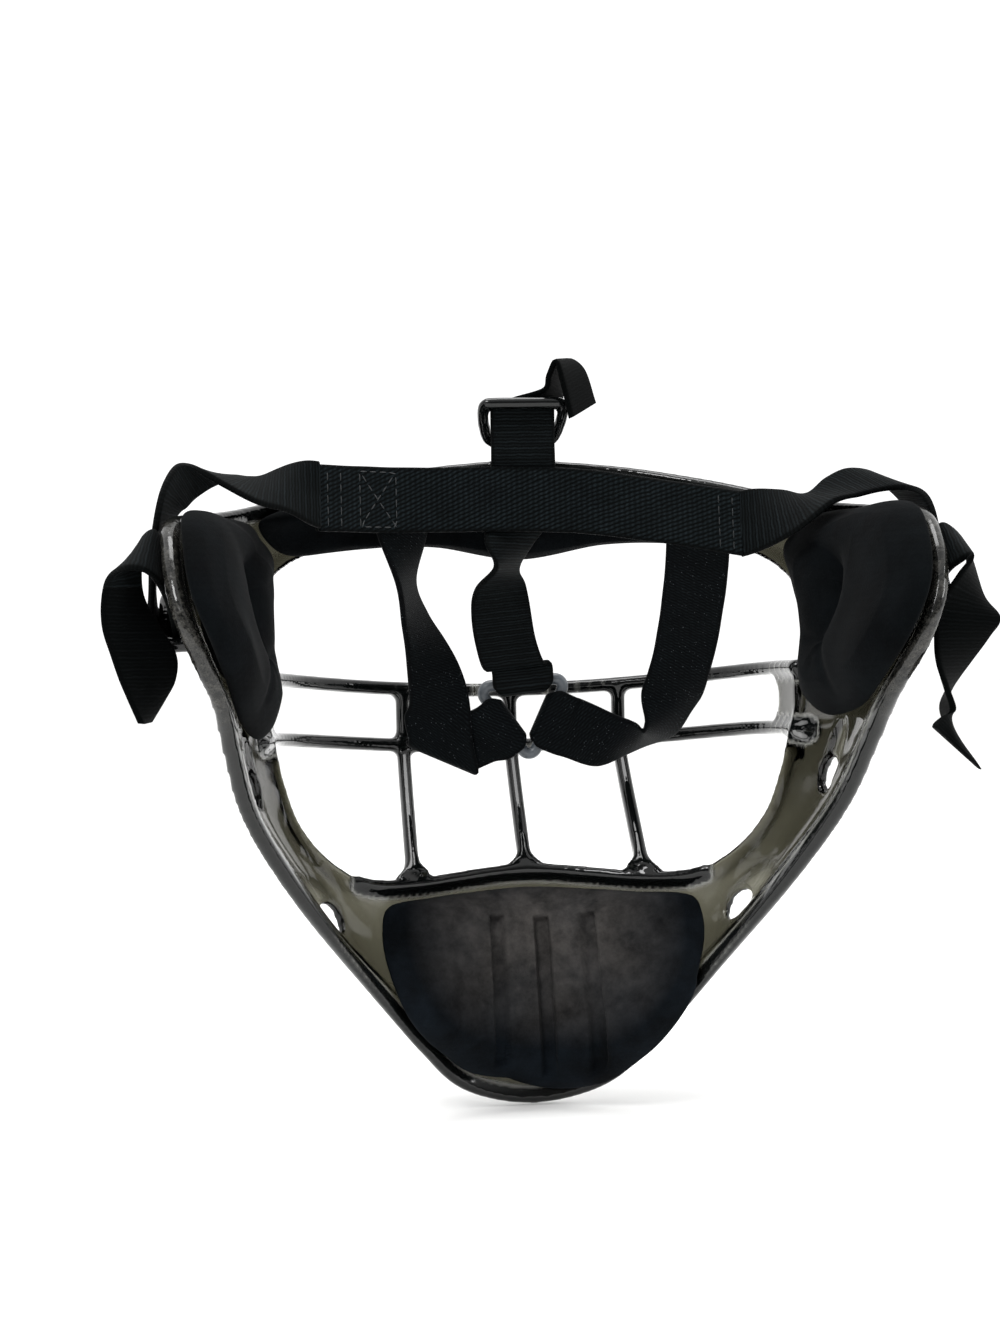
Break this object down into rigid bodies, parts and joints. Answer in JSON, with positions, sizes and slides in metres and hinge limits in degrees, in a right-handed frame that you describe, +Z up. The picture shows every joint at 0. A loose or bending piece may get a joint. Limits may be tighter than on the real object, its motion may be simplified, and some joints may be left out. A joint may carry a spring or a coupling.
{
  "type": "sports face mask",
  "caption": "Moulded smoke-tinted face guard with bars, foam pads at brow, temples and chin, and an elastic webbing head harness.",
  "frame": {"origin": "centre of the head seat, midway between the temples, where the wearer's head sits", "axes": "+Z up, +Y the way the wearer faces, +X to the wearer's right"},
  "size_m": [0.2292, 0.1559, 0.2225],
  "materials": {
    "smoke_polycarbonate": "clear smoke-grey moulding, polished, with scuffed edges",
    "hook_and_loop": "black hook-and-loop",
    "pad_fabric": "black brushed knit over foam",
    "webbing": "black ribbed elastic webbing",
    "hook_tab": "black hook tape, matt",
    "ring_plastic": "grey moulded acetal"
  },
  "bodies": {
    "root": {"face_guard": "smoke_polycarbonate", "brow_patch": "hook_and_loop", "left_temple_patch": "hook_and_loop", "right_temple_patch": "hook_and_loop", "chin_patch": "hook_and_loop", "brow_pad": "pad_fabric", "left_temple_pad": "pad_fabric", "right_temple_pad": "pad_fabric", "chin_pad": "pad_fabric", "left_side_strap": "webbing", "right_side_strap": "webbing", "top_strap": "webbing"},
    "harness": {"back_band": "webbing", "left_drop_strap": "webbing", "right_drop_strap": "webbing", "harness_ring": "ring_plastic"},
    "left_tail": {"left_strap_tail": "webbing", "left_hook_tab": "hook_tab"},
    "right_tail": {"right_strap_tail": "webbing", "right_hook_tab": "hook_tab"},
    "top_tail": {"top_strap_tail": "webbing"}
  },
  "joints": [
    {"name": "harness_pull", "type": "slide", "parent": "root", "child": "harness", "axis": [0, -1, 0], "range_m": [0, 0.06], "stiffness_N_per_m": 120, "deforming": ["left_side_strap", "right_side_strap", "top_strap"]},
    {"name": "left_tail_swing", "type": "hinge", "parent": "root", "child": "left_tail", "pos_m": [-0.1008, 0.009, 0.0135], "axis": [0, -0.848, -0.53], "range_deg": [0, 30], "stiffness_Nm_per_rad": 0.02},
    {"name": "right_tail_swing", "type": "hinge", "parent": "root", "child": "right_tail", "pos_m": [0.1008, 0.009, 0.0135], "axis": [0, 0.848, 0.53], "range_deg": [0, 30], "stiffness_Nm_per_rad": 0.02},
    {"name": "top_tail_swing", "type": "hinge", "parent": "root", "child": "top_tail", "pos_m": [0, 0.068, 0.0767], "axis": [1, 0, 0], "range_deg": [-10, 40], "stiffness_Nm_per_rad": 0.02}
  ]
}
